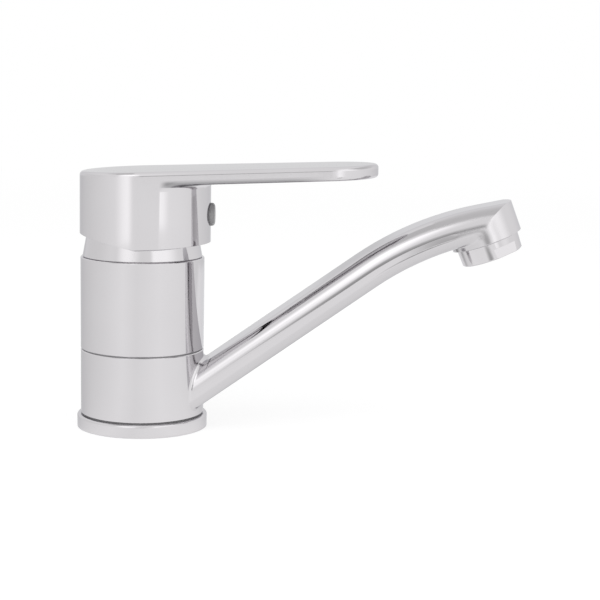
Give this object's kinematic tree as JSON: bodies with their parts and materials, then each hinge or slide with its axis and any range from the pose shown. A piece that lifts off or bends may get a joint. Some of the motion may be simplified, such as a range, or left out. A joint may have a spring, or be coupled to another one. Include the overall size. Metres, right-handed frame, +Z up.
{
  "type": "kitchen faucet",
  "caption": "Single-lever kitchen mixer faucet: round body with a low swivel spout, tilted aerator head and a flat lever that lifts for flow and turns for temperature.",
  "frame": {"origin": "on the deck, at the middle of the base ring's underside, on the swivel axis", "axes": "+Z up along the swivel axis, +X out along the spout and the lever, +Y to the right of a user in front"},
  "size_m": [0.1797, 0.053, 0.1086],
  "materials": {
    "chrome": "polished",
    "brass": "satin",
    "steel": "satin",
    "cartridge_plastic": "matte",
    "ceramic": "satin",
    "rubber": "matte",
    "glide_plastic": "matte",
    "plug_plastic": "satin",
    "aerator_plastic": "matte"
  },
  "bodies": {
    "faucet_body": {"body": "chrome", "base_ring": "chrome", "base_gasket": "rubber", "lower_glide_ring": "glide_plastic", "upper_glide_ring": "glide_plastic", "lower_o_ring": "rubber", "upper_o_ring": "rubber", "cartridge_base": "cartridge_plastic", "cartridge_housing": "cartridge_plastic", "fixed_disc": "ceramic", "retaining_nut": "brass", "dome_ring": "chrome", "hot_port_seal": "rubber", "hot_disc_seal": "rubber", "cold_port_seal": "rubber", "cold_disc_seal": "rubber", "outlet_port_seal": "rubber", "outlet_disc_seal": "rubber"},
    "turret": {"turntable": "cartridge_plastic", "pivot_pin": "steel"},
    "slider": {"moving_disc": "ceramic", "disc_carrier": "cartridge_plastic"},
    "lever": {"handle": "chrome", "spindle": "brass", "grub_screw": "steel", "index_plug": "plug_plastic"},
    "swivel_spout": {"spout": "chrome", "aerator_housing": "chrome", "aerator_insert": "aerator_plastic", "jet_plate": "aerator_plastic", "aerator_gasket": "rubber"}
  },
  "joints": [
    {"name": "spout_swivel", "type": "hinge", "parent": "faucet_body", "child": "swivel_spout", "pos_m": [0, 0, 0.0188], "axis": [0, 0, 1], "continuous": true},
    {"name": "lever_turn", "type": "hinge", "parent": "faucet_body", "child": "turret", "pos_m": [0, 0, 0.067], "axis": [0, 0, 1], "range_deg": [-50, 50]},
    {"name": "lever_lift", "type": "hinge", "parent": "turret", "child": "lever", "pos_m": [0, 0, 0.067], "axis": [0, -1, 0], "range_deg": [0, 20]},
    {"name": "disc_slide", "type": "slide", "parent": "turret", "child": "slider", "axis": [1, 0, 0], "range_m": [0, 0.0047]}
  ],
  "couplings": [
    {"joint": "disc_slide", "follows": "lever_lift", "m_per_rad": 0.01343}
  ]
}
